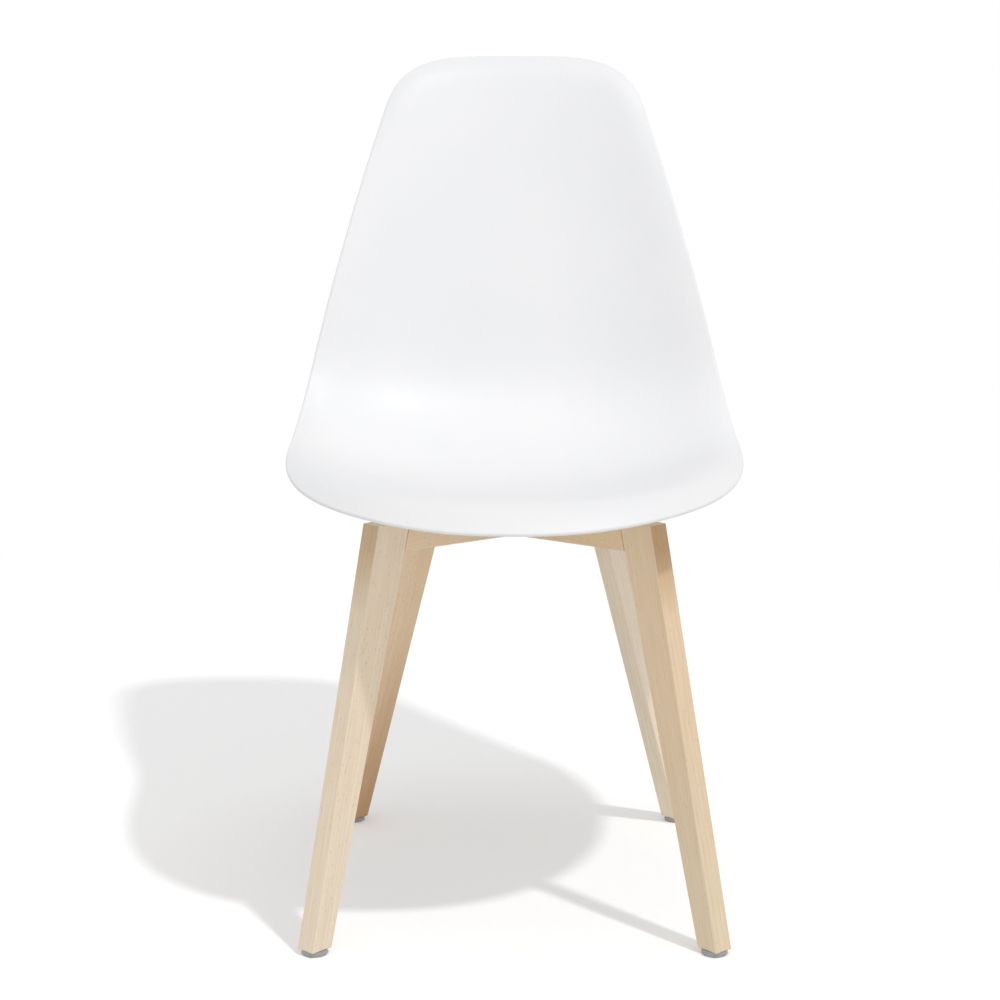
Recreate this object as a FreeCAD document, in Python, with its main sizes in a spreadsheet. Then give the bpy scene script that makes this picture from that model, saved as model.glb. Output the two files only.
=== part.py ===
import FreeCAD, Part
import math
import os
import re
from collections import namedtuple

import Sketcher
from FreeCAD import Vector

# A dining chair: a one-piece moulded plastic shell bolted down on two crossing wooden
# boards. Each board is a rail with a tapered leg butted and dowelled to each end.
# Millimetres. The chair faces -Y, its right side (as it faces) is -X, the floor is Z = 0,
# and the origin is under the middle of the chair's box.

doc = FreeCAD.newDocument("ShellChair")

# Driving dimensions: name, value, meaning
DIMENSIONS = [
    ("overall_height", 846, "floor to the top of the back"),
    ("shell_width", 464, "shell at its widest, beside the hips"),
    ("seat_height", 437, "front of the seat, before the lip rolls down"),
    ("front_reach", 251, "crossing of the rails to the front of the lip"),
    ("back_reach", 263, "crossing of the rails to the top of the back"),
    ("shell_wall", 4.5, "wall of the shell"),
    ("rim_round", 2, "rounding of each edge of the rim"),
    ("seat_dip", 22, "hollow of the seat, below its front"),
    ("hip_reach", 90, "crossing of the rails to where the seat turns up"),
    ("back_foot_reach", 172, "crossing of the rails to the foot of the back"),
    ("back_foot_rise", 40, "foot of the back, above the front of the seat"),
    ("back_lean", 7.4, "lean of the back at its foot, degrees"),
    ("lip_dish", 9.7, "rise of the sides at the lip"),
    ("hip_dish", 56, "rise of the sides at the foot of the back"),
    ("top_dish", 18, "rise of the sides at the top of the back"),
    ("dish_spread", 200, "length of mid-line over which the sides' direction turns, each way"),
    ("dish_power", 2.6, "how late the sides rise: 2 is a plain arc"),
    ("widest_place", 296, "lip to the widest place, along the seat"),
    ("top_width", 237, "where the tapered sides of the back aim at its top"),
    ("taper_power", 1.48, "how late the back narrows: 1 is a straight taper"),
    ("front_round", 2.32, "fullness of the front corners: 2 is an ellipse"),
    ("top_round", 3.44, "fullness of the top corners: 2 is an ellipse"),
    ("top_round_length", 76, "length of the top corners, down the back"),
    ("lip_roll_width", 46, "width of the rolled lip"),
    ("lip_roll_drop", 20.5, "how far the lip rolls down"),
    ("side_roll_width", 26, "width of the flared rim at the sides"),
    ("side_roll_drop", 7, "how far the sides flare outwards"),
    ("top_roll_width", 26, "width of the flared rim at the top"),
    ("top_roll_drop", 9, "how far the top flares backwards"),
    ("splay_angle", 48, "plan angle of each board from the X axis, degrees"),
    ("board", 21.5, "thickness of legs and rails"),
    ("edge_round", 1.5, "rounding of the long edges of legs and rails"),
    ("front_foot_radius", 297, "crossing to the outer edge of a front foot"),
    ("rear_foot_radius", 283.1, "crossing to the outer edge of a rear foot"),
    ("front_top_radius", 203.7, "crossing to the outer edge of a front leg's top"),
    ("rear_top_radius", 153.5, "crossing to the outer edge of a rear leg's top"),
    ("foot_width", 25, "leg across its board at the foot"),
    ("sole_chamfer", 1, "chamfer round the sole of a leg"),
    ("leg_top_width", 43.2, "leg across its board at the top"),
    ("rail_drop", 33, "top of the rails, below the front of the seat"),
    ("rail_end_depth", 29.5, "depth of the rails at the legs"),
    ("rail_middle_depth", 37.2, "depth of the rails at their crossing"),
    ("bolt_radius", 88, "crossing to each shell bolt"),
    ("boss_diameter", 22, "bosses under the shell"),
    ("spacer_diameter", 22, "rubber spacers between rail and boss"),
    ("spacer_thickness", 3, "thickness of the spacers"),
    ("insert_diameter", 8.6, "threaded inserts in the bosses"),
    ("insert_length", 9, "length of the inserts"),
    ("insert_groove_depth", 0.4, "groove that holds an insert in its boss"),
    ("insert_groove_width", 1.8, "width of that groove"),
    ("bolt_diameter", 6, "shell bolts"),
    ("bolt_length", 34, "shell bolts, under the head"),
    ("bolt_head_diameter", 10.5, "button head"),
    ("bolt_head_height", 3.3, "button head"),
    ("bolt_head_rim", 1.3, "upright edge of the button head"),
    ("bolt_crown_diameter", 6.3, "flat on the button head"),
    ("bolt_chamfer", 0.8, "chamfer at the end of a bolt"),
    ("bolt_end_gap", 1, "end of a bolt, short of the end of its insert"),
    ("socket_width", 4, "hexagon socket, across the flats"),
    ("socket_depth", 2, "depth of the socket"),
    ("washer_diameter", 12, "washers under the bolt heads"),
    ("washer_thickness", 1.6, "thickness of the washers"),
    ("counterbore_diameter", 13.5, "counterbores in the rails for heads and washers"),
    ("bolt_play", 0.3, "gap round a bolt, each side"),
    ("fit_gap", 0.05, "gap round a pressed or glued piece, each side"),
    ("end_gap", 0.5, "space past the end of a piece in a blind hole"),
    ("dowel_diameter", 6, "dowels between leg and rail"),
    ("dowel_length", 28, "length of the dowels"),
    ("dowel_spacing", 13, "between the two dowels of a joint"),
    ("dowel_chamfer", 0.8, "chamfer at the ends of a dowel"),
    ("lap_screw_diameter", 4, "wood screw through the crossing"),
    ("lap_screw_length", 28, "length of that screw"),
    ("lap_screw_head_diameter", 8, "countersunk head"),
    ("lap_screw_head_height", 2.6, "countersunk head"),
    ("slot_width", 1, "slot in the head of that screw"),
    ("slot_depth", 1, "depth of the slot"),
    ("glide_diameter", 25, "glides under the feet"),
    ("glide_height", 5, "height of the glides"),
    ("glide_chamfer", 1.1, "worn-in edge of the glides"),
    ("nail_diameter", 2, "nail through each glide"),
    ("nail_length", 16, "length of the nail"),
    ("nail_head_diameter", 5, "head of the nail"),
    ("nail_head_height", 1, "head of the nail"),
    ("nail_recess", 0.5, "head of the nail, above the floor"),
    ("overcut", 1, "how far a cut runs past the face it opens"),
]

# Sizes worked out from the driving ones: name, formula
WORKED = [
    ("rail_top", "seat_height - rail_drop"),
    ("rail_corner", "rail_top - rail_end_depth"),
    ("rail_keel", "rail_top - rail_middle_depth"),
    ("lap_height", "rail_top - rail_middle_depth / 2"),
    ("leg_rise", "rail_top - glide_height"),
    ("front_inner_foot", "front_foot_radius - foot_width"),
    ("rear_inner_foot", "rear_foot_radius - foot_width"),
    ("front_inner_top", "front_top_radius - leg_top_width"),
    ("rear_inner_top", "rear_top_radius - leg_top_width"),
    ("front_inner_lean", "(front_inner_foot - front_inner_top) / leg_rise"),
    ("rear_inner_lean", "(rear_inner_foot - rear_inner_top) / leg_rise"),
    ("front_corner", "front_inner_top + front_inner_lean * rail_end_depth"),
    ("rear_corner", "rear_inner_top + rear_inner_lean * rail_end_depth"),
    ("dowel_height", "rail_top - rail_end_depth / 2"),
    ("front_dowel_place", "(front_inner_top + front_corner) / 2"),
    ("rear_dowel_place", "(rear_inner_top + rear_corner) / 2"),
    ("boss_face", "rail_top + spacer_thickness"),
    ("bolt_seat", "boss_face + insert_length - bolt_end_gap - bolt_length"),
    ("counterbore_floor", "bolt_seat + washer_thickness"),
    ("front_glide_radius", "front_foot_radius - foot_width / 2"),
    ("rear_glide_radius", "rear_foot_radius - foot_width / 2"),
]


def make_sheet(name, rows):
    """A sheet with one named value on each row."""
    sheet = doc.addObject("Spreadsheet::Sheet", name)
    for row, (alias, content, *meaning) in enumerate(rows, start=1):
        sheet.set(f"A{row}", alias)
        sheet.set(f"B{row}", str(content))
        sheet.setAlias(f"B{row}", alias)
        if meaning:
            sheet.set(f"C{row}", meaning[0])
    doc.recompute()
    return sheet


HOME = {row[0]: "Dimensions" for row in DIMENSIONS}


def bound(formula):
    """The formula with each named value written as its cell in the sheets."""

    def cell(word):
        name = word.group()
        return f"{HOME[name]}.{name}" if name in HOME else name

    return re.sub(r"[a-z_]{4,}", cell, formula)


make_sheet("Dimensions", DIMENSIONS)
HOME.update({name: "Worked" for name, _ in WORKED})
worked = make_sheet("Worked", [(name, "=" + bound(formula)) for name, formula in WORKED])


def value(formula):
    """What the formula comes to."""
    return float(worked.evalExpression(bound(formula)))


# The shell


def evenly(count, degree=3):
    """Knots, their multiplicities and the middles of the poles of an even clamped spline."""
    spans = count - degree
    knots = [i / spans for i in range(spans + 1)]
    flat = [0.0] * degree + knots + [1.0] * degree
    middles = [sum(flat[i + 1 : i + degree + 1]) / degree for i in range(count)]
    return knots, [degree + 1] + [1] * (spans - 1) + [degree + 1], middles


def spline(poles):
    """A smooth curve drawn by its poles."""
    knots, mults, _ = evenly(len(poles))
    curve = Part.BSplineCurve()
    curve.buildFromPolesMultsKnots(poles, mults, knots, False, 3)
    return curve


def ease(start, end, place):
    """0 before start, 1 after end, and a smooth step between."""
    part = min(max((place - start) / (end - start), 0), 1)
    return part * part * (3 - 2 * part)


class Shell:
    """The shell's shape: a mid-line from lip to top, with dished sides and a flared rim.

    A place on it is (across, along): the distance from the mid-line, and the distance
    from the lip, measured along the mid-line.
    """

    MARGIN = 10  # how far the surfaces run past the rim, before they are trimmed
    POLE_STEP = 13  # between the poles of the surfaces
    CORNER_STEPS = 12  # points of the outline round each corner
    SIDE_STEPS = 9  # spans of the outline down each tapered side
    # Poles over the seat: share of the way from lip to hip, share of the dip reached there
    SEAT_POLES = [(0, 0.14), (0.07, -0.09), (0.22, 0), (0.43, 0.41), (0.72, 0.95), (1, 1.05)]
    BACK_POLES = [0, 0.2, 0.44, 0.7, 0.88, 1]  # share of the way up the back
    HIP_SHARE = 0.87  # of the sides' rise at the foot of the back, reached at the hip
    SEAT_RISE_POWER = 0.8  # the sides rise sooner than evenly, from lip to hip
    BACK_FALL_POWER = 1.3  # and fall later than evenly, up the back
    TOP_ROLL_LOSS = 2.5  # height lost to the flare and the rounding of the top
    LIP_FADE = (0.3, 1.6)  # where the lip's roll fades, in lengths of lip to widest place
    TOP_FADE = (2.2, 0.6)  # where the top's flare builds up, in lengths of a top corner
    PAST_RIM = 0.5  # the roll stops growing this far past the rim, in roll widths

    def __init__(self):
        poles = self.mid_poles()
        self.mid = spline([Vector(0, y, z) for y, z, _ in poles])
        self.dishes = spline([Vector(dish, 0, 0) for _, _, dish in poles])
        self.length = self.mid.length()
        self.half = value("shell_width / 2")
        self.widest = value("widest_place")
        self.top_start = self.length - value("top_round_length")

    def mid_poles(self):
        """Poles of the mid-line: place, height, and rise of the sides there."""
        front, seat = value("front_reach"), value("seat_height")
        hip, foot = value("hip_reach"), value("back_foot_reach")
        lip_dish, hip_dish, top_dish = value("lip_dish"), value("hip_dish"), value("top_dish")
        seat_poles = []
        for share, dipped in self.SEAT_POLES:
            height = seat - dipped * value("seat_dip")
            dish = lip_dish + (hip_dish - lip_dish) * self.HIP_SHARE * share**self.SEAT_RISE_POWER
            seat_poles.append((share * (front + hip) - front, height, dish))
        low = seat + value("back_foot_rise")
        rise = value("overall_height") + self.TOP_ROLL_LOSS - low
        lean = math.tan(math.radians(value("back_lean")))
        curl = (value("back_reach") - foot - lean * rise) / rise**2
        back_poles = []
        for share in self.BACK_POLES:
            up = share * rise
            dish = top_dish + (hip_dish - top_dish) * (1 - share**self.BACK_FALL_POWER)
            back_poles.append((foot + lean * up + curl * up**2, low + up, dish))
        return seat_poles + back_poles

    def half_width(self, along):
        """Half the width between the sides, before the ends are rounded."""
        share = min(max((along - self.widest) / (self.length - self.widest), 0), 1)
        return self.half - (self.half - value("top_width / 2")) * share ** value("taper_power")

    def inset(self, across, along):
        """How far a place lies inside the rim."""
        width = self.half_width(along)
        side = max(abs(across) / width, 1e-6)
        if along < self.widest:
            power, reach = value("front_round"), self.widest
            end = (self.widest - along) / reach
        else:
            power, reach = value("top_round"), value("top_round_length")
            end = max((along - self.top_start) / reach, 0)
        whole = (side**power + end**power) ** (1 / power)
        sideways = (side / whole) ** (power - 1) / width
        lengthways = (end / whole) ** (power - 1) / reach
        return (1 - whole) / math.hypot(sideways, lengthways)

    def roll(self, across, along):
        """How far the rim rolls away from the sitter."""
        start, end = self.LIP_FADE
        lip = 1 - ease(start * self.widest, end * self.widest, along)
        start, end = [self.length - share * value("top_round_length") for share in self.TOP_FADE]
        top = ease(start, end, along)
        shares = {"lip": lip, "side": 1 - lip - top, "top": top}
        width = sum(share * value(f"{place}_roll_width") for place, share in shares.items())
        drop = sum(share * value(f"{place}_roll_drop") for place, share in shares.items())
        near = max(0, 1 - self.inset(across, along) / width)
        past = min(max(0, near - 1), self.PAST_RIM)
        return drop * (min(near, 1) ** 2 + 2 * past)

    def centre(self, along):
        """A point of the mid-line, which is run on straight past both ends, and the dish there."""
        within = min(max(along, 0), self.length)
        where = self.mid.parameterAtDistance(within, 0) if within > 0 else 0
        past = self.mid.tangent(where)[0] * (along - within)
        return self.mid.value(where) + past, self.dishes.value(where).x

    def point(self, across, along):
        """A point of the sitter's side."""
        centre, dish = self.centre(along)
        spread = value("dish_spread")
        ahead = self.centre(along + spread)[0] - self.centre(along - spread)[0]
        ahead.normalize()
        rise = dish * (abs(across) / self.half_width(along)) ** value("dish_power")
        lift = rise - self.roll(across, along)
        return centre + Vector(across, 0, 0) + Vector(0, -ahead.z, ahead.y) * lift

    def surfaces(self):
        """The sitter's side and the underside, both wider than the rim."""
        reach = self.half + self.MARGIN
        run = self.length + 2 * self.MARGIN
        u_knots, u_mults, u_middles = evenly(2 * round(reach / self.POLE_STEP) + 1)
        v_knots, v_mults, v_middles = evenly(round(run / self.POLE_STEP))
        poles = []
        for u in u_middles:
            across = (2 * u - 1) * reach
            poles.append([self.point(across, v * run - self.MARGIN) for v in v_middles])
        top = Part.BSplineSurface()
        top.buildFromPolesMultsKnots(poles, u_mults, v_mults, u_knots, v_knots, False, False, 3, 3)
        wall = value("shell_wall")
        low = []
        for u, row in zip(u_middles, poles):
            low.append([pole - top.normal(u, v) * wall for v, pole in zip(v_middles, row)])
        under = Part.BSplineSurface()
        under.buildFromPolesMultsKnots(low, u_mults, v_mults, u_knots, v_knots, False, False, 3, 3)
        return top, under

    def rim(self):
        """The outline as a closed curve in the surfaces' own two directions."""
        quarter = [math.pi / 2 * i / self.CORNER_STEPS for i in range(self.CORNER_STEPS + 1)]
        side = []
        power = 2 / value("front_round")
        for turn in quarter:
            along = self.widest * (1 - math.cos(turn) ** power)
            side.append((self.half * math.sin(turn) ** power, along))
        for i in range(1, self.SIDE_STEPS):
            along = self.widest + (self.top_start - self.widest) * i / self.SIDE_STEPS
            side.append((self.half_width(along), along))
        power = 2 / value("top_round")
        for turn in quarter:
            along = self.top_start + value("top_round_length") * math.sin(turn) ** power
            side.append((self.half_width(along) * max(math.cos(turn), 0) ** power, along))
        loop = side[:-1] + [(0, self.length)] + [(-x, y) for x, y in reversed(side[1:-1])]
        reach, run = 2 * (self.half + self.MARGIN), self.length + 2 * self.MARGIN
        points = [FreeCAD.Base.Vector2d(x / reach + 0.5, (y + self.MARGIN) / run) for x, y in loop]
        curve = Part.Geom2d.BSplineCurve2d()
        curve.interpolate(Points=points, PeriodicFlag=True)
        return curve

    def solid(self):
        """The wall between the two surfaces inside the rim, with its edges rounded."""
        rim = self.rim()
        start, run = rim.FirstParameter, rim.LastParameter - rim.FirstParameter
        faces = []
        quarters = [start + run * i / 4 for i in range(5)]
        for surface in self.surfaces():
            arcs = [rim.toShape(surface, *ends) for ends in zip(quarters, quarters[1:])]
            pieces = Part.Face(surface).generalFuse(arcs)[0].Faces
            faces.append(min(pieces, key=lambda piece: len(piece.Edges)))
        edges = []
        for arc in faces[0].Edges:
            below = min(faces[1].Edges, key=lambda other: (other.CenterOfMass - arc.CenterOfMass).Length)
            edges.append(Part.makeRuledSurface(arc, below))
        skin = Part.makeShell(faces + edges)
        skin.sewShape()
        wall = Part.Solid(skin)
        if wall.Volume < 0:
            wall.reverse()
        arcs = [edge for edge in wall.Edges if edge.Length > 2 * value("shell_wall")]
        return wall.makeFillet(min(value("rim_round"), 0.45 * value("shell_wall")), arcs)


def measure_centre_shift(shape):
    """Note how far back the middle of the chair's box lies from the crossing of the rails."""
    box = shape.optimalBoundingBox(False, False)
    row = len(WORKED) + 1
    worked.set(f"A{row}", "centre_shift")
    worked.set(f"B{row}", str(round(-(box.YMin + box.YMax) / 2, 3)))
    worked.setAlias(f"B{row}", "centre_shift")
    HOME["centre_shift"] = "Worked"
    doc.recompute()


def bolt_places():
    """The four bolts, as seen from above."""
    radius, splay = value("bolt_radius"), math.radians(value("splay_angle"))
    x, y = radius * math.cos(splay), radius * math.sin(splay)
    return [(x, -y), (-x, -y), (x, y), (-x, y)]


def make_seat_shell():
    """The moulded shell, with a boss under it for each bolt."""
    shape = Shell().solid()
    measure_centre_shift(shape)
    face = value("boss_face")
    tall = value("seat_height + hip_dish - boss_face")
    for x, y in bolt_places():
        post = Part.makeCylinder(value("boss_diameter / 2"), tall, Vector(x, y, face))
        boss = min(post.cut(shape).Solids, key=lambda piece: piece.CenterOfMass.z)
        shape = shape.fuse(boss)
    for x, y in bolt_places():
        radius = value("insert_diameter / 2 + fit_gap")
        depth = value("insert_length + end_gap")
        shape = shape.cut(Part.makeCylinder(radius, depth, Vector(x, y, face)))
    shell = doc.addObject("Part::Feature", "seat_shell")
    shell.Label = "seat_shell"
    shell.Shape = shape
    shell.Placement.Base.y = value("centre_shift")
    return shell


# Sketched and turned pieces


def make_body(name):
    """A sub-part of its own."""
    body = doc.addObject("PartDesign::Body", name)
    body.Label = name
    return body


def make_sketch(body, role, shift=("0", "0", "0")):
    """A sketch on one of the body's own planes, moved in the sketch's own directions."""
    plane = next(feature for feature in body.Origin.OriginFeatures if feature.Role == role)
    sketch = body.newObject("Sketcher::SketchObject", f"{body.Name}_sketch")
    sketch.AttachmentSupport = (plane, [""])
    sketch.MapMode = "FlatFace"
    for direction, formula in zip("xyz", shift):
        sketch.setExpression(f"AttachmentOffset.Base.{direction}", bound(formula))
    return sketch


def fix_point(sketch, line, end, place):
    """Hold a point of the sketch at the two formulas of its place."""
    for kind, formula in zip(("DistanceX", "DistanceY"), place):
        index = sketch.addConstraint(Sketcher.Constraint(kind, -1, 1, line, end, value(formula)))
        sketch.setExpression(f"Constraints[{index}]", bound(formula))


def draw_polygon(sketch, corners):
    """A closed outline through corners, each given by two formulas."""
    points = [Vector(value(x), value(y), 0) for x, y in corners]
    first = sketch.GeometryCount
    count = len(corners)
    for i in range(count):
        sketch.addGeometry(Part.LineSegment(points[i], points[(i + 1) % count]))
    for i in range(count):
        sketch.addConstraint(Sketcher.Constraint("Coincident", first + i, 2, first + (i + 1) % count, 1))
        fix_point(sketch, first + i, 1, corners[i])


def draw_circle(sketch, centre, diameter):
    """A circle whose centre and diameter are formulas."""
    place = Vector(value(centre[0]), value(centre[1]), 0)
    line = sketch.addGeometry(Part.Circle(place, Vector(0, 0, 1), value(diameter) / 2))
    fix_point(sketch, line, 3, centre)
    index = sketch.addConstraint(Sketcher.Constraint("Diameter", line, value(diameter)))
    sketch.setExpression(f"Constraints[{index}]", bound(diameter))


def add_feature(body, kind, sketch, **settings):
    """A feature of the body, driven by its sketch."""
    feature = body.newObject(f"PartDesign::{kind}", f"{body.Name}_{kind}")
    feature.Profile = sketch
    for name, setting in settings.items():
        if name == "Length":
            feature.setExpression("Length", bound(setting))
        else:
            setattr(feature, name, setting)
    sketch.Visibility = False
    doc.recompute()
    return feature


def turn(body, corners):
    """A piece turned about its upright axis. Corners are radius and height."""
    sketch = make_sketch(body, "XZ_Plane")
    draw_polygon(sketch, corners)
    add_feature(body, "Revolution", sketch, ReferenceAxis=(sketch, ["V_Axis"]), Angle=360)


def bore(body, place, corners):
    """A stepped upright hole, at a place along the board. Corners are radius and height."""
    before = body.Shape.Volume
    sketch = make_sketch(body, "XZ_Plane", (place, "0", "0"))
    draw_polygon(sketch, corners)
    add_feature(body, "Groove", sketch, ReferenceAxis=(sketch, ["V_Axis"]), Angle=360)
    if body.Shape.Volume >= before:
        raise RuntimeError(f"{sketch.Name} cuts nothing")


def stand(body, angle, radius="0", height="0"):
    """Turn a body about the crossing of the rails, and place it that far out and up."""
    body.Placement.Rotation = FreeCAD.Rotation(Vector(0, 0, 1), value(angle))
    body.setExpression("Placement.Rotation.Angle", bound(angle))
    body.setExpression("Placement.Base.x", bound(f"({radius}) * cos({angle})"))
    body.setExpression("Placement.Base.y", bound(f"({radius}) * sin({angle}) + centre_shift"))
    body.setExpression("Placement.Base.z", bound(height))


# Corners of the chair: name, plan angle from the crossing, which end of a board it is
Corner = namedtuple("Corner", "name angle end")
CORNERS = [
    Corner("front_right", "180 + splay_angle", "front"),
    Corner("front_left", "360 - splay_angle", "front"),
    Corner("rear_right", "180 - splay_angle", "rear"),
    Corner("rear_left", "splay_angle", "rear"),
]


def dress_edges(body, kind, chosen, size_name, size_formula):
    """Fillet or chamfer the edges of the body that the test picks."""
    base = body.Tip
    edges = [f"Edge{i}" for i, edge in enumerate(body.Shape.Edges, start=1) if chosen(edge)]
    feature = body.newObject(f"PartDesign::{kind}", f"{body.Name}_{kind}")
    feature.Base = (base, edges)
    feature.setExpression(size_name, bound(size_formula))
    doc.recompute()


def round_long_edges(body, least):
    """Round the edges that run along a board."""
    dress_edges(body, "Fillet", lambda edge: edge.Length > least, "Radius", "edge_round")


def drill_dowel_holes(body, place):
    """Two level holes, centred on the joint of leg and rail."""
    sketch = make_sketch(body, "YZ_Plane", ("0", "0", place))
    for side in "-+":
        draw_circle(sketch, ("0", f"dowel_height {side} dowel_spacing / 2"), "dowel_diameter + 2 * fit_gap")
    length = "dowel_length + 2 * end_gap"
    add_feature(body, "Pocket", sketch, SideType="Symmetric", Length=length)


def make_leg(corner):
    """A tapered leg, cut from a board, with its sole level."""
    body = make_body(f"leg_{corner.name}")
    sketch = make_sketch(body, "XZ_Plane")
    foot, top = f"{corner.end}_foot_radius", f"{corner.end}_top_radius"
    draw_polygon(
        sketch,
        [
            (foot, "glide_height"),
            (top, "rail_top"),
            (f"{corner.end}_inner_top", "rail_top"),
            (f"{corner.end}_inner_foot", "glide_height"),
        ],
    )
    add_feature(body, "Pad", sketch, SideType="Symmetric", Length="board")
    sole = value("glide_height")
    dress_edges(body, "Chamfer", lambda edge: edge.BoundBox.ZMax < sole + 0.01, "Size", "sole_chamfer")
    round_long_edges(body, value("leg_rise / 2"))
    drill_dowel_holes(body, f"{corner.end}_dowel_place")
    radius = "nail_diameter / 2 + fit_gap"
    deepest = "nail_recess + nail_head_height + nail_length + end_gap"
    hole = [("0", "0"), (radius, "0"), (radius, deepest), ("0", deepest)]
    bore(body, f"{corner.end}_glide_radius", hole)
    stand(body, corner.angle)
    return body


def make_rail(name, angle, notch_on_top):
    """A cross rail from a front leg to a rear leg, half lapped over the other rail."""
    body = make_body(name)
    sketch = make_sketch(body, "XZ_Plane")
    draw_polygon(
        sketch,
        [
            ("front_inner_top", "rail_top"),
            ("-rear_inner_top", "rail_top"),
            ("-rear_corner", "rail_corner"),
            ("0", "rail_keel"),
            ("front_corner", "rail_corner"),
        ],
    )
    add_feature(body, "Pad", sketch, SideType="Symmetric", Length="board")
    round_long_edges(body, value("rear_inner_top"))
    # The notch follows the other rail, which crosses at twice the splay.
    turn_between = "180 - 2 * splay_angle" if notch_on_top else "2 * splay_angle"
    height = "rail_top + overcut" if notch_on_top else "rail_keel - overcut"
    notch = make_sketch(body, "XY_Plane", ("0", "0", height))
    corners = []
    for wall, edge in (("-", "-"), ("", "-"), ("", ""), ("-", "")):
        past = f"{edge}(board / 2 + overcut)"
        along = f"({wall}(board / 2 + fit_gap) + {past} * cos({turn_between})) / sin({turn_between})"
        corners.append((along, past))
    draw_polygon(notch, corners)
    before = body.Shape.Volume
    depth = "rail_middle_depth / 2 + overcut"
    add_feature(body, "Pocket", notch, Length=depth, Reversed=not notch_on_top)
    if body.Shape.Volume >= before:
        raise RuntimeError(f"the notch of {name} cuts nothing")
    for end, side in (("front", ""), ("rear", "-")):
        drill_dowel_holes(body, f"{side}{end}_dowel_place")
        wide, narrow = "counterbore_diameter / 2", "bolt_diameter / 2 + bolt_play"
        low, high = "rail_keel - overcut", "rail_top + overcut"
        hole = [("0", low), (wide, low), (wide, "counterbore_floor")]
        hole += [(narrow, "counterbore_floor"), (narrow, high), ("0", high)]
        bore(body, f"{side}bolt_radius", hole)
    bore(body, "0", lap_screw_outline("fit_gap"))
    stand(body, angle)
    return body


def lap_screw_outline(gap):
    """The countersunk screw from below through the crossing, or its hole with a gap round it."""
    head = f"lap_screw_head_diameter / 2 + {gap}"
    shank = f"lap_screw_diameter / 2 + {gap}"
    neck = f"rail_keel + lap_screw_head_height + {gap}"
    base = f"rail_keel - {gap}" if gap != "0" else "rail_keel"
    end = f"rail_keel + lap_screw_length + {gap}"
    cone = f"rail_keel + lap_screw_length - lap_screw_diameter + {gap}"
    return [("0", base), (head, base), (shank, neck), (shank, cone), ("0", end)]


def make_dowels(corner):
    """The two dowels of a joint, level along the board."""
    body = make_body(f"dowels_{corner.name}")
    sketch = make_sketch(body, "YZ_Plane", ("0", "0", f"{corner.end}_dowel_place"))
    for side in "-+":
        draw_circle(sketch, ("0", f"dowel_height {side} dowel_spacing / 2"), "dowel_diameter")
    add_feature(body, "Pad", sketch, SideType="Symmetric", Length="dowel_length")
    dress_edges(body, "Chamfer", lambda edge: edge.isClosed(), "Size", "dowel_chamfer")
    stand(body, corner.angle)
    return body


def make_spacer(corner):
    """A rubber ring between the rail and a boss of the shell."""
    body = make_body(f"spacer_{corner.name}")
    outer, inner = "spacer_diameter / 2", "bolt_diameter / 2 + bolt_play"
    turn(body, [(inner, "0"), (outer, "0"), (outer, "spacer_thickness"), (inner, "spacer_thickness")])
    stand(body, corner.angle, "bolt_radius", "rail_top")
    return body


def make_insert(corner):
    """A brass threaded insert with a groove round it, moulded into a boss."""
    body = make_body(f"threaded_insert_{corner.name}")
    outer, inner = "insert_diameter / 2", "bolt_diameter / 2 + fit_gap"
    neck = f"{outer} - insert_groove_depth"
    low = "(insert_length - insert_groove_width) / 2"
    high = "(insert_length + insert_groove_width) / 2"
    corners = [(inner, "0"), (outer, "0"), (outer, low), (neck, low)]
    corners += [(neck, high), (outer, high), (outer, "insert_length"), (inner, "insert_length")]
    turn(body, corners)
    stand(body, corner.angle, "bolt_radius", "boss_face")
    return body


def make_bolt(corner):
    """A button-head bolt with a hexagon socket, its head down."""
    body = make_body(f"shell_bolt_{corner.name}")
    head, crown, shank = "bolt_head_diameter / 2", "bolt_crown_diameter / 2", "bolt_diameter / 2"
    corners = [("0", "-bolt_head_height"), (crown, "-bolt_head_height"), (head, "-bolt_head_rim")]
    corners += [(head, "0"), (shank, "0"), (shank, "bolt_length - bolt_chamfer")]
    corners += [(f"{shank} - bolt_chamfer", "bolt_length"), ("0", "bolt_length")]
    turn(body, corners)
    sketch = make_sketch(body, "XY_Plane", ("0", "0", "-bolt_head_height"))
    corner_radius = "socket_width / 2 / cos(30)"
    hexagon = []
    for degrees in range(0, 360, 60):
        hexagon.append((f"{corner_radius} * cos({degrees})", f"{corner_radius} * sin({degrees})"))
    draw_polygon(sketch, hexagon)
    before = body.Shape.Volume
    add_feature(body, "Pocket", sketch, Length="socket_depth", Reversed=True)
    if body.Shape.Volume >= before:
        raise RuntimeError(f"the socket of {body.Name} cuts nothing")
    stand(body, corner.angle, "bolt_radius", "bolt_seat")
    return body


def make_washer(corner):
    """A flat steel washer between the bolt head and the floor of its counterbore."""
    body = make_body(f"bolt_washer_{corner.name}")
    outer, inner = "washer_diameter / 2", "bolt_diameter / 2 + bolt_play"
    turn(body, [(inner, "0"), (outer, "0"), (outer, "washer_thickness"), (inner, "washer_thickness")])
    stand(body, corner.angle, "bolt_radius", "bolt_seat")
    return body


def make_glide(corner):
    """A round plastic glide under the foot, recessed for the head of its nail."""
    body = make_body(f"glide_{corner.name}")
    outer, hole = "glide_diameter / 2", "nail_diameter / 2 + fit_gap"
    sink, ledge = "nail_head_diameter / 2 + fit_gap", "nail_recess + nail_head_height"
    corners = [(sink, "0"), (f"{outer} - glide_chamfer", "0"), (outer, "glide_chamfer")]
    corners += [(outer, "glide_height"), (hole, "glide_height"), (hole, ledge), (sink, ledge)]
    turn(body, corners)
    stand(body, corner.angle, f"{corner.end}_glide_radius")
    return body


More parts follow.
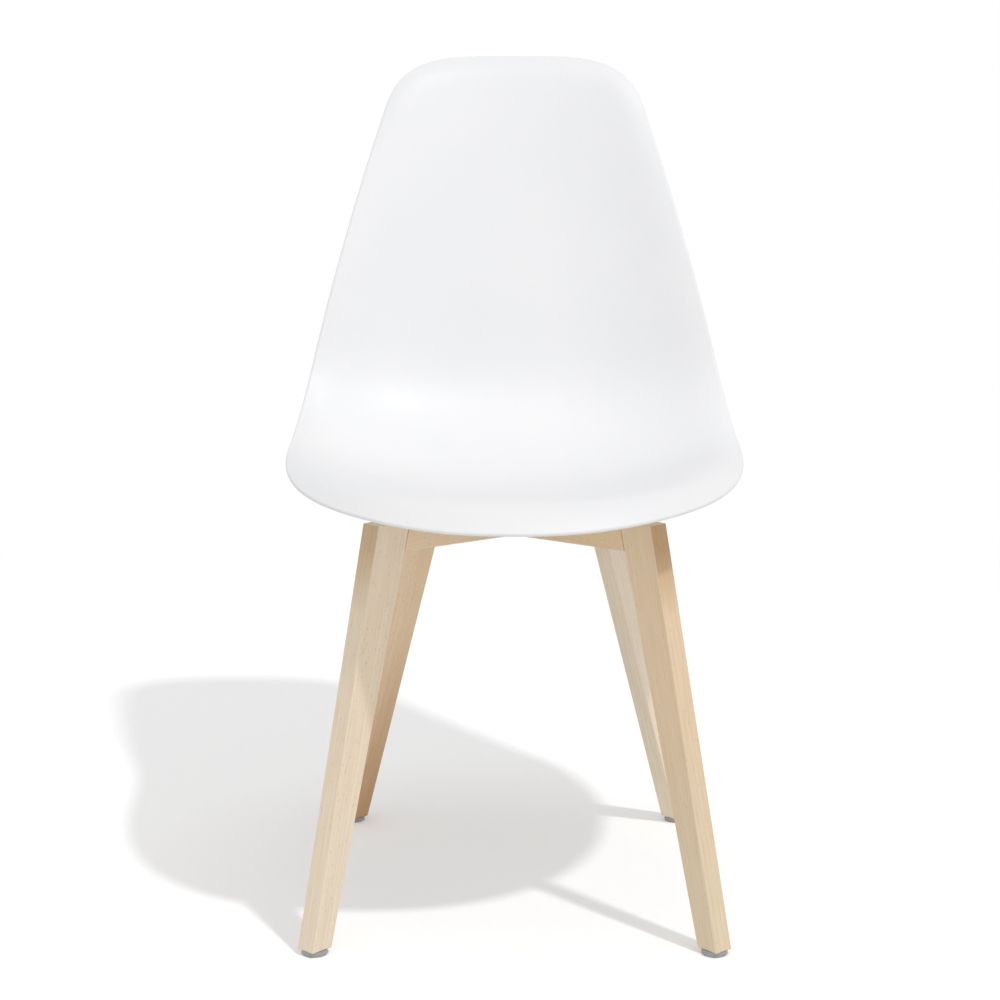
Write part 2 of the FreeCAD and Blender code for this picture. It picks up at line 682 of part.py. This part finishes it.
def make_nail(corner):
    """The nail that holds a glide to the end grain of the foot."""
    body = make_body(f"glide_nail_{corner.name}")
    head, shank = "nail_head_diameter / 2", "nail_diameter / 2"
    ledge = "nail_recess + nail_head_height"
    corners = [("0", "nail_recess"), (head, "nail_recess"), (head, ledge), (shank, ledge)]
    corners += [(shank, f"{ledge} + nail_length - nail_diameter"), ("0", f"{ledge} + nail_length")]
    turn(body, corners)
    stand(body, corner.angle, f"{corner.end}_glide_radius")
    return body


def make_lap_screw():
    """The wood screw that draws the two halves of the crossing together."""
    body = make_body("lap_screw")
    turn(body, lap_screw_outline("0"))
    before = body.Shape.Volume
    slot = make_sketch(body, "XY_Plane", ("0", "0", "rail_keel"))
    long, wide = "lap_screw_head_diameter / 2 + overcut", "slot_width / 2"
    outline = [(f"-({long})", f"-{wide}"), (long, f"-{wide}"), (long, wide), (f"-({long})", wide)]
    draw_polygon(slot, outline)
    add_feature(body, "Pocket", slot, Length="slot_depth", Reversed=True)
    if body.Shape.Volume >= before:
        raise RuntimeError("the slot of the lap screw cuts nothing")
    stand(body, "0")
    return body


def make_chair():
    """Every sub-part of the chair."""
    sub_parts = [make_seat_shell()]
    sub_parts.append(make_rail("cross_rail_lower", "180 + splay_angle", True))
    sub_parts.append(make_rail("cross_rail_upper", "360 - splay_angle", False))
    makers = [make_leg, make_dowels, make_spacer, make_insert, make_bolt, make_washer]
    makers += [make_glide, make_nail]
    for corner in CORNERS:
        sub_parts += [make(corner) for make in makers]
    sub_parts.append(make_lap_screw())
    return sub_parts


def export(sub_parts):
    """Check every object, then write each sub-part to its own file."""
    doc.recompute()
    for thing in doc.Objects:
        if "Invalid" in thing.State or "Error" in thing.State:
            raise RuntimeError(f"{thing.Label} is {thing.State}")
    for part in sub_parts:
        if part.Shape.isNull() or not part.Shape.isValid():
            raise RuntimeError(f"{part.Label} has no valid shape")
    os.makedirs("parts", exist_ok=True)
    for part in sub_parts:
        part.Shape.exportStep(f"parts/{part.Label}.step")


export(make_chair())
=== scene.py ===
import math

import bmesh
import bpy
from bpy.props import FloatProperty, FloatVectorProperty, PointerProperty
from mathutils import Matrix, Vector

# A dining chair with a moulded plastic shell on splayed beech legs. Metres, Z up. The chair
# faces -Y, so its right side (the sitter's right) is at -X.

bl_info = {
    "name": "Moulded Shell Chair",
    "version": (1, 0, 0),
    "blender": (4, 5, 0),
    "location": "View3D > Sidebar > Chair",
    "description": "Finishes the pieces of a shell chair and sets up its studio",
    "category": "Object",
}

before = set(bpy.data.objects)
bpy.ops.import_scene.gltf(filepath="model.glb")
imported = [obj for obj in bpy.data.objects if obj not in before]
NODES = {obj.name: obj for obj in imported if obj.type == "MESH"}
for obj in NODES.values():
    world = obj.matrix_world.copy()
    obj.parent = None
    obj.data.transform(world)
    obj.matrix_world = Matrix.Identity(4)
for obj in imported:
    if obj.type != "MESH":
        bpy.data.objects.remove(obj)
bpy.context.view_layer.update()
MM = 0.001
CORNERS = ("front_right", "front_left", "rear_right", "rear_left")

# What multiplies the wood's tone in its patterns
GREYED = (0.90, 0.90, 0.93)
PINKISH = (0.99, 0.94, 0.91)
LATE_WOOD = (0.84, 0.77, 0.66)
FLECK_BROWN = (0.52, 0.40, 0.27)
# Painted shade: the brown that darkens the narrow sides of the legs under the shell
SHELL_SHADE_TINT = (0.70, 0.58, 0.43)

# Widths and lengths of the wood's patterns, in millimetres
CLOUD_SIZE = (14, 170)
STREAK_SIZE = (4.5, 150)
FIBRE_SIZE = (1.1, 45)
FLECK_CELL = 2.6

# Distances from a board's head over which its narrow sides are painted darker and browner: painted shade,
# where the shell shades the tops of the legs
SHELL_SHADE_STARTS = 95 * MM
SHELL_SHADE_FULL = 30 * MM

# Distances on the floor from under the seat, in metres: where a painted glow grows and lightens the
# shadow, and where the paint fades to the background
PAINTED_GLOW_SPAN = (0.15, 0.45)
PAINT_FADES = (1.3, 1.9)
# Strengths of that painted glow, under the seat and further out
PAINTED_GLOW_LEVELS = (0.095, 0.19)
FLOOR_HALF_WIDTH = 8

KEY_PLACE = (1.01, -1.25, 3.08)
KEY_TARGET = (-0.1, 0.1, 0.3)
EYE_PLACE = (0, -2.3538, 0.818)
EYE_DIP = math.radians(10.1)
EYE_SHIFT = -0.0146


def linear(colour):
    """An sRGB hex colour as linear red, green and blue."""
    channels = [int(colour[i : i + 2], 16) / 255 for i in (1, 3, 5)]
    return [c / 12.92 if c <= 0.04045 else ((c + 0.055) / 1.055) ** 2.4 for c in channels]


class ChairSettings(bpy.types.PropertyGroup):
    """Colours and sizes of the chair's finishes."""

    shell_colour: FloatVectorProperty(
        name="Shell",
        description="Colour of the moulded shell",
        default=linear("#F3F3F4"),
        subtype="COLOR",
    )
    grain_size: FloatProperty(
        name="Mould grain",
        description="Size of the fine grain that the mould leaves on the shell",
        default=1.4 * MM,
        unit="LENGTH",
    )
    ring_spacing: FloatProperty(
        name="Growth rings",
        description="Distance between the growth rings of the beech",
        default=3.2 * MM,
        unit="LENGTH",
    )
    fleck_length: FloatProperty(
        name="Flecks",
        description="Length of the dark flecks along the grain of the beech",
        default=7 * MM,
        unit="LENGTH",
    )


class StudioSettings(bpy.types.PropertyGroup):
    """Light and camera of the studio."""

    key_strength: FloatProperty(
        name="Key light",
        description="Share of white that the key light gives a surface facing it",
        default=0.312,
        subtype="FACTOR",
    )
    sky_strength: FloatProperty(
        name="Fill light",
        description="Share of white that the surroundings give every surface",
        default=0.58,
        subtype="FACTOR",
    )
    front_strength: FloatProperty(
        name="Front light",
        description="Share of white that the surroundings add from straight ahead",
        default=0.33,
        subtype="FACTOR",
    )
    key_width: FloatProperty(
        name="Key width",
        description="Width of the key light, which softens the shadows",
        default=0.16,
        unit="LENGTH",
    )
    lens: FloatProperty(
        name="Lens",
        description="Focal length of the camera, in millimetres",
        default=84.65,
    )


def add_node(tree, kind, inputs=None, **settings):
    """A node with its settings, each input set to a value or linked to an output."""
    node = tree.nodes.new(kind)
    for name, setting in settings.items():
        setattr(node, name, setting)
    for name, source in (inputs or {}).items():
        if isinstance(source, bpy.types.NodeSocket):
            tree.links.new(source, node.inputs[name])
        else:
            node.inputs[name].default_value = source
    return node


def new_material(name):
    """An empty material with its node tree and its shader."""
    material = bpy.data.materials.new(name)
    material.use_nodes = True
    tree = material.node_tree
    tree.nodes.clear()
    shader = add_node(tree, "ShaderNodeBsdfPrincipled")
    add_node(tree, "ShaderNodeOutputMaterial", {"Surface": shader.outputs["BSDF"]})
    return material, tree, shader


def finish(node, material):
    """Give a piece its material."""
    for slot in NODES[node].material_slots:
        slot.material = material


# Colour inputs and output of a mix node, by place: the names stand for several kinds
FIRST, SECOND, RESULT = 6, 7, 2


def blend(tree, factor, first, second, mode="MIX"):
    """The output of two colours mixed."""
    return add_node(
        tree,
        "ShaderNodeMix",
        {0: factor, FIRST: first, SECOND: second},
        data_type="RGBA",
        blend_type=mode,
    ).outputs[RESULT]


def remap(tree, value, low, high, to_low, to_high):
    """A number moved from one range to another and held within it."""
    inputs = {"Value": value, "From Min": low, "From Max": high, "To Min": to_low, "To Max": to_high}
    return add_node(tree, "ShaderNodeMapRange", inputs).outputs["Result"]


def opaque(colour):
    """A linear colour with its alpha."""
    return (*colour, 1)


def moulded_polypropylene(settings):
    """White polypropylene, injection moulded in an etched tool.

    To the eye a soft satin white, without a sharp reflection, and slightly cool where it
    curves away from the light. The tool's etching is finer than a pixel, so it is drawn
    about three times as coarse, and very shallow.
    """
    material, tree, shader = new_material("moulded white polypropylene")
    place = add_node(tree, "ShaderNodeTexCoord").outputs["Object"]
    drift = add_node(tree, "ShaderNodeTexNoise", {"Vector": place, "Scale": 1 / (160 * MM), "Detail": 2})
    etching = add_node(
        tree, "ShaderNodeTexNoise", {"Vector": place, "Scale": 1 / settings.grain_size, "Detail": 3}
    )
    pale = opaque(settings.shell_colour)
    cool = opaque(c * k for c, k in zip(settings.shell_colour, (0.972, 0.977, 0.985)))
    share = remap(tree, drift.outputs["Fac"], 0.35, 0.7, 0, 1)
    tree.links.new(blend(tree, share, pale, cool), shader.inputs["Base Color"])
    tree.links.new(
        remap(tree, etching.outputs["Fac"], 0.3, 0.7, 0.44, 0.52), shader.inputs["Roughness"]
    )
    bump = add_node(
        tree,
        "ShaderNodeBump",
        {"Strength": 0.25, "Distance": 0.03 * MM, "Height": etching.outputs["Fac"]},
    )
    tree.links.new(bump.outputs["Normal"], shader.inputs["Normal"])
    shader.inputs["IOR"].default_value = 1.49
    return material


def board_frame(node, along):
    """A board's middle, its turn (X through its thickness, Z along its grain) and its length."""
    points = [vertex.co for vertex in NODES[node].data.vertices]
    low = min(point[along] for point in points)
    high = max(point[along] for point in points)
    near = [point for point in points if point[along] < low + 2 * MM]
    far = [point for point in points if point[along] > high - 2 * MM]
    start = sum(near, Vector()) / len(near)
    end = sum(far, Vector()) / len(far)
    grain = (end - start).normalized()
    thickness = Vector((0, 0, 1)).cross(grain).normalized()
    turn = Matrix((thickness, grain.cross(thickness), grain)).transposed()
    return (start + end) / 2, turn, (end - start).length


def lacquered_beech(settings, node, along, head, foot, shell_shade, pith):
    """Steamed beech, planed, sanded and clear lacquered, with its grain along the board.

    To the eye pale straw to pinkish, with straight, barely darker growth lines, fine
    fibres and some short brown flecks, under a dull lacquer. The flecks are half a
    millimetre wide and drawn a little wider, so that they show. The narrow sides are
    painted darker and browner over the last 95 mm towards the head: painted shade, where
    the shell shades the top of the board.
    """
    material, tree, shader = new_material(f"lacquered beech {node}")
    centre, turn, length = board_frame(node, along)
    place = add_node(tree, "ShaderNodeTexCoord")
    board = add_node(
        tree,
        "ShaderNodeMapping",
        {"Vector": place.outputs["Object"], "Location": centre, "Rotation": turn.to_euler()},
        vector_type="TEXTURE",
    ).outputs["Vector"]
    height = add_node(tree, "ShaderNodeSeparateXYZ", {"Vector": board}).outputs["Z"]

    def stretched(across, lengthwise):
        scale = (1 / (across * MM), 1 / (across * MM), 1 / (lengthwise * MM))
        inputs = {"Vector": board, "Location": pith, "Scale": scale}
        return add_node(tree, "ShaderNodeMapping", inputs).outputs["Vector"]

    # The pith of the tree lies outside the board, so the rings cross it as flat arcs.
    ringed = add_node(
        tree, "ShaderNodeMapping", {"Vector": board, "Location": pith, "Scale": (1, 1, 0.035)}
    ).outputs["Vector"]
    rings = add_node(
        tree,
        "ShaderNodeTexWave",
        {
            "Vector": ringed,
            "Scale": 2 * math.pi / (20 * settings.ring_spacing),
            "Distortion": 7,
            "Detail": 3,
            "Detail Scale": 0.35,
        },
        wave_type="RINGS",
        rings_direction="Z",
        wave_profile="SAW",
    ).outputs["Fac"]
    cloud = add_node(
        tree, "ShaderNodeTexNoise", {"Vector": stretched(*CLOUD_SIZE), "Scale": 1, "Detail": 2}
    ).outputs["Fac"]
    fibre = add_node(
        tree, "ShaderNodeTexNoise", {"Vector": stretched(*FIBRE_SIZE), "Scale": 1, "Detail": 3}
    ).outputs["Fac"]
    cells = add_node(
        tree,
        "ShaderNodeTexVoronoi",
        {"Vector": stretched(FLECK_CELL, settings.fleck_length / MM), "Scale": 1},
    )
    chosen = add_node(tree, "ShaderNodeSeparateColor", {"Color": cells.outputs["Color"]}).outputs["Red"]
    spot = remap(tree, cells.outputs["Distance"], 0.12, 0.3, 1, 0)
    fleck = add_node(
        tree, "ShaderNodeMath", {0: spot, 1: remap(tree, chosen, 0.74, 0.96, 0, 1)}, operation="MULTIPLY"
    ).outputs["Value"]
    streak = add_node(
        tree, "ShaderNodeTexNoise", {"Vector": stretched(*STREAK_SIZE), "Scale": 1, "Detail": 2}
    ).outputs["Fac"]
    facing = add_node(
        tree,
        "ShaderNodeVectorMath",
        {0: place.outputs["Normal"], 1: turn.col[1]},
        operation="DOT_PRODUCT",
    ).outputs["Value"]
    narrow = add_node(tree, "ShaderNodeMath", {0: facing}, operation="ABSOLUTE").outputs["Value"]
    # Painted shade: the narrow sides are darkened towards the head, where the shell shades them
    painted_shell_shade = add_node(
        tree,
        "ShaderNodeMath",
        {
            0: remap(tree, narrow, 0.5, 0.9, 0, 1),
            1: remap(tree, height, length / 2 - SHELL_SHADE_STARTS, length / 2 - SHELL_SHADE_FULL, 0, shell_shade),
        },
        operation="MULTIPLY",
    ).outputs["Value"]

    # Tone from the foot to the head; the rear right leg's darker foot is painted shade from the seat
    rise = remap(tree, height, 20 * MM - length / 2, 50 * MM, 0, 1)
    colour = blend(tree, rise, opaque(linear(foot)), opaque(linear(head)))
    for share, tint in (
        (remap(tree, cloud, 0.3, 0.75, 0, 0.55), GREYED),
        (remap(tree, streak, 0.4, 0.65, 0, 0.5), PINKISH),
        (remap(tree, rings, 0.35, 1, 0, 0.22), LATE_WOOD),
        (remap(tree, fibre, 0.45, 0.75, 0, 0.42), LATE_WOOD),
        (remap(tree, fleck, 0, 1, 0, 0.36), FLECK_BROWN),
        (painted_shell_shade, SHELL_SHADE_TINT),
    ):
        colour = blend(tree, share, colour, opaque(tint), "MULTIPLY")
    tree.links.new(colour, shader.inputs["Base Color"])
    tree.links.new(remap(tree, fibre, 0.3, 0.7, 0.40, 0.55), shader.inputs["Roughness"])
    relief = add_node(tree, "ShaderNodeMath", {0: fibre, 1: fleck}, operation="SUBTRACT").outputs["Value"]
    bump = add_node(
        tree, "ShaderNodeBump", {"Strength": 0.35, "Distance": 0.12 * MM, "Height": relief}
    )
    tree.links.new(bump.outputs["Normal"], shader.inputs["Normal"])
    shader.inputs["IOR"].default_value = 1.5
    shader.inputs["Coat Weight"].default_value = 0.12
    shader.inputs["Coat Roughness"].default_value = 0.35
    return material


def plain_finish(name, colour, roughness, metallic, ior, wear_size, wear, bump_depth):
    """A finish of one colour, broken up by a fine pattern of its roughness and relief."""
    material, tree, shader = new_material(name)
    place = add_node(tree, "ShaderNodeTexCoord").outputs["Object"]
    pattern = add_node(
        tree, "ShaderNodeTexNoise", {"Vector": place, "Scale": 1 / wear_size, "Detail": 4}
    ).outputs["Fac"]
    base = linear(colour)
    worn = opaque(min(c * (1 + wear), 1) for c in base)
    tree.links.new(
        blend(tree, remap(tree, pattern, 0.4, 0.7, 0, 1), opaque(base), worn), shader.inputs["Base Color"]
    )
    tree.links.new(
        remap(tree, pattern, 0.3, 0.7, roughness - 0.06, roughness + 0.06), shader.inputs["Roughness"]
    )
    bump = add_node(tree, "ShaderNodeBump", {"Strength": 0.4, "Distance": bump_depth, "Height": pattern})
    tree.links.new(bump.outputs["Normal"], shader.inputs["Normal"])
    shader.inputs["Metallic"].default_value = metallic
    if ior:
        shader.inputs["IOR"].default_value = ior
    return material


class CHAIR_OT_shell(bpy.types.Operator):
    """Give the seat shell its moulded plastic"""

    bl_idname = "chair.shell"
    bl_label = "Seat shell"

    def execute(self, context):
        finish("seat_shell", moulded_polypropylene(context.scene.chair))
        return {"FINISHED"}


# Boards: the axis that their grain follows most, their tones at the head and the foot (the
# rear and front end of a rail), the strength of the painted shade on their narrow sides
# under the shell, and where the pith lies
BOARDS = {
    "leg_front_right": (2, "#F6E5CB", "#F6E7D0", 0.85, (0.048, 0.031, 0.2)),
    "leg_front_left": (2, "#F0D7B5", "#EBD9BB", 1, (-0.036, 0.052, 0.7)),
    # The rear right leg's darker, browner foot tone is painted shade, where the seat shades its lower
    # part
    "leg_rear_right": (2, "#F5DAB6", "#D4A97B", 0.1, (0.061, -0.022, 1.3)),
    "leg_rear_left": (2, "#F7E9D3", "#F8EAD1", 0.2, (-0.055, -0.04, 1.9)),
    "cross_rail_lower": (1, "#F4DCBA", "#F4DCBA", 0, (0.033, 0.058, 2.4)),
    "cross_rail_upper": (1, "#EFD6AE", "#EFD6AE", 0, (-0.047, 0.044, 3.1)),
}
DOWEL_TONE = "#E0C8A2"


class CHAIR_OT_boards(bpy.types.Operator):
    """Give the legs, the rails and their dowels their wood"""

    bl_idname = "chair.boards"
    bl_label = "Legs and rails"

    def execute(self, context):
        settings = context.scene.chair
        for node, row in BOARDS.items():
            finish(node, lacquered_beech(settings, node, *row))
        for corner in CORNERS:
            node = f"dowels_{corner}"
            finish(node, lacquered_beech(settings, node, 1, DOWEL_TONE, DOWEL_TONE, 0, (0.04, 0.05, 0)))
        return {"FINISHED"}


class CHAIR_OT_glides(bpy.types.Operator):
    """Give the glides and spacers their plastic and rubber"""

    bl_idname = "chair.glides"
    bl_label = "Glides and spacers"

    def execute(self, context):
        # Dull mid grey, faintly scuffed by the floor
        glide = plain_finish("moulded grey polyethylene", "#A2A3A4", 0.5, 0, 1.51, 3 * MM, 0.1, 0.05 * MM)
        # Dead matt, with a fine dusty bloom
        rubber = plain_finish("black rubber", "#1D1D1E", 0.82, 0, 1.52, 1.5 * MM, 0.4, 0.05 * MM)
        for corner in CORNERS:
            finish(f"glide_{corner}", glide)
            finish(f"spacer_{corner}", rubber)
        return {"FINISHED"}


class CHAIR_OT_hardware(bpy.types.Operator):
    """Give the bolts, washers, inserts, nails and screw their metal"""

    bl_idname = "chair.hardware"
    bl_label = "Hardware"

    def execute(self, context):
        # Bluish silver, softly clouded by the plating
        zinc = plain_finish("zinc-plated steel", "#B9BDC2", 0.34, 1, None, 2.5 * MM, 0.12, 0.02 * MM)
        # Warm yellow, bright where the tool has cut it
        brass = plain_finish("turned brass", "#C9A65B", 0.28, 1, None, 1.2 * MM, 0.15, 0.02 * MM)
        for corner in CORNERS:
            finish(f"threaded_insert_{corner}", brass)
            for piece in ("shell_bolt", "bolt_washer", "glide_nail"):
                finish(f"{piece}_{corner}", zinc)
        finish("lap_screw", zinc)
        return {"FINISHED"}


def background_rays(tree):
    """1 for rays that show the background: seen, mirrored or looked through."""
    rays = add_node(tree, "ShaderNodeLightPath")
    seen = rays.outputs["Is Camera Ray"]
    for name in ("Is Glossy Ray", "Is Transmission Ray"):
        seen = add_node(
            tree, "ShaderNodeMath", {0: seen, 1: rays.outputs[name]}, operation="MAXIMUM"
        ).outputs["Value"]
    return seen


def studio_floor_paint():
    """Matt white paint. Where it is seen it is white, but for the chair's own shadow.

    That shadow is deepest under the seat and painted lighter from there outwards, by a glow that grows
    with the distance.
    """
    material = bpy.data.materials.new("matt white floor paint")
    material.use_nodes = True
    tree = material.node_tree
    tree.nodes.clear()
    plain = add_node(tree, "ShaderNodeBsdfDiffuse", {"Color": opaque(linear("#E8E8E8"))})
    shaded = add_node(tree, "ShaderNodeBsdfDiffuse", {"Color": opaque(linear("#FDFDFD"))})
    place = add_node(tree, "ShaderNodeTexCoord").outputs["Object"]
    distance = add_node(tree, "ShaderNodeVectorMath", {0: place}, operation="LENGTH").outputs["Value"]
    # Painted light: a glow that grows away from the seat, so that the seen shadow is painted darkest
    # under it
    glow = add_node(
        tree,
        "ShaderNodeEmission",
        {"Color": (1, 1, 1, 1), "Strength": remap(tree, distance, *PAINTED_GLOW_SPAN, *PAINTED_GLOW_LEVELS)},
    )
    white = add_node(tree, "ShaderNodeEmission", {"Color": (1, 1, 1, 1), "Strength": 1})
    shadow = add_node(tree, "ShaderNodeAddShader", {0: glow.outputs[0], 1: shaded.outputs[0]})
    away = remap(tree, distance, *PAINT_FADES, 0, 1)
    shown = add_node(tree, "ShaderNodeMixShader", {0: away, 1: shadow.outputs[0], 2: white.outputs[0]})
    paint = add_node(
        tree, "ShaderNodeMixShader", {0: background_rays(tree), 1: plain.outputs[0], 2: shown.outputs[0]}
    )
    add_node(tree, "ShaderNodeOutputMaterial", {"Surface": paint.outputs[0]})
    return material


def add_floor():
    """A wide floor at the chair's soles."""
    mesh = bpy.data.meshes.new("studio_floor")
    sheet = bmesh.new()
    bmesh.ops.create_grid(sheet, x_segments=1, y_segments=1, size=FLOOR_HALF_WIDTH)
    sheet.to_mesh(mesh)
    sheet.free()
    mesh.materials.append(studio_floor_paint())
    floor = bpy.data.objects.new("studio_floor", mesh)
    bpy.context.scene.collection.objects.link(floor)


def add_key_light(studio):
    """One soft lamp, high to the camera's right, as strong far away as near."""
    lamp = bpy.data.lights.new("key_light", "AREA")
    lamp.shape = "DISK"
    lamp.size = studio.key_width
    # A disk of this many watts gives a white surface a metre away its share of white.
    lamp.energy = studio.key_strength * math.pi**2
    lamp.use_nodes = True
    tree = lamp.node_tree
    tree.nodes.clear()
    even = add_node(tree, "ShaderNodeLightFalloff", {"Strength": 1})
    glow = add_node(tree, "ShaderNodeEmission", {"Strength": even.outputs["Constant"]})
    add_node(tree, "ShaderNodeOutputLight", {"Surface": glow.outputs[0]})
    light = bpy.data.objects.new("key_light", lamp)
    light.location = KEY_PLACE
    aim = Vector(KEY_TARGET) - light.location
    light.rotation_euler = aim.to_track_quat("-Z", "Y").to_euler()
    bpy.context.scene.collection.objects.link(light)


def add_surroundings(studio):
    """Even light from all round, fuller from the front, and a white background where it is seen."""
    world = bpy.data.worlds.new("white_studio")
    world.use_nodes = True
    tree = world.node_tree
    tree.nodes.clear()
    direction = add_node(tree, "ShaderNodeTexCoord").outputs["Generated"]
    ahead = add_node(
        tree, "ShaderNodeVectorMath", {0: direction, 1: (0, -1, 0)}, operation="DOT_PRODUCT"
    ).outputs["Value"]
    sky = studio.sky_strength
    level = remap(tree, ahead, 0, 1, sky, sky + studio.front_strength)
    fill = add_node(tree, "ShaderNodeBackground", {"Color": (1, 1, 1, 1), "Strength": level})
    white = add_node(tree, "ShaderNodeBackground", {"Color": (1, 1, 1, 1), "Strength": 1})
    both = add_node(
        tree, "ShaderNodeMixShader", {0: background_rays(tree), 1: fill.outputs[0], 2: white.outputs[0]}
    )
    add_node(tree, "ShaderNodeOutputWorld", {"Surface": both.outputs[0]})
    bpy.context.scene.world = world


def add_camera(studio):
    """A camera at sitting height, two and a third metres in front."""
    camera = bpy.data.cameras.new("camera")
    camera.lens = studio.lens
    camera.shift_x = EYE_SHIFT
    eye = bpy.data.objects.new("camera", camera)
    eye.location = EYE_PLACE
    eye.rotation_euler = (math.pi / 2 - EYE_DIP, 0, 0)
    bpy.context.scene.collection.objects.link(eye)
    bpy.context.scene.camera = eye


class CHAIR_OT_stage(bpy.types.Operator):
    """Set up the floor, the light and the camera"""

    bl_idname = "chair.stage"
    bl_label = "Studio"

    def execute(self, context):
        studio = context.scene.studio
        add_floor()
        add_key_light(studio)
        add_surroundings(studio)
        add_camera(studio)
        context.scene.view_settings.view_transform = "Standard"
        return {"FINISHED"}


OPERATORS = (CHAIR_OT_shell, CHAIR_OT_boards, CHAIR_OT_glides, CHAIR_OT_hardware, CHAIR_OT_stage)


class CHAIR_PT_pieces(bpy.types.Panel):
    """The chair's pieces and its studio"""

    bl_idname = "CHAIR_PT_pieces"
    bl_label = "Shell Chair"
    bl_space_type = "VIEW_3D"
    bl_region_type = "UI"
    bl_category = "Chair"

    def draw(self, context):
        for group in (context.scene.chair, context.scene.studio):
            for name in group.__annotations__:
                self.layout.prop(group, name)
        for operator in OPERATORS:
            self.layout.operator(operator.bl_idname)


CLASSES = (ChairSettings, StudioSettings, *OPERATORS, CHAIR_PT_pieces)


def register():
    for kind in CLASSES:
        bpy.utils.register_class(kind)
    bpy.types.Scene.chair = PointerProperty(type=ChairSettings)
    bpy.types.Scene.studio = PointerProperty(type=StudioSettings)


def unregister():
    del bpy.types.Scene.studio
    del bpy.types.Scene.chair
    for kind in reversed(CLASSES):
        bpy.utils.unregister_class(kind)


def main():
    """Finish every piece and set up the studio."""
    register()
    bpy.ops.chair.shell()
    bpy.ops.chair.boards()
    bpy.ops.chair.glides()
    bpy.ops.chair.hardware()
    bpy.ops.chair.stage()


if __name__ == "__main__":
    main()
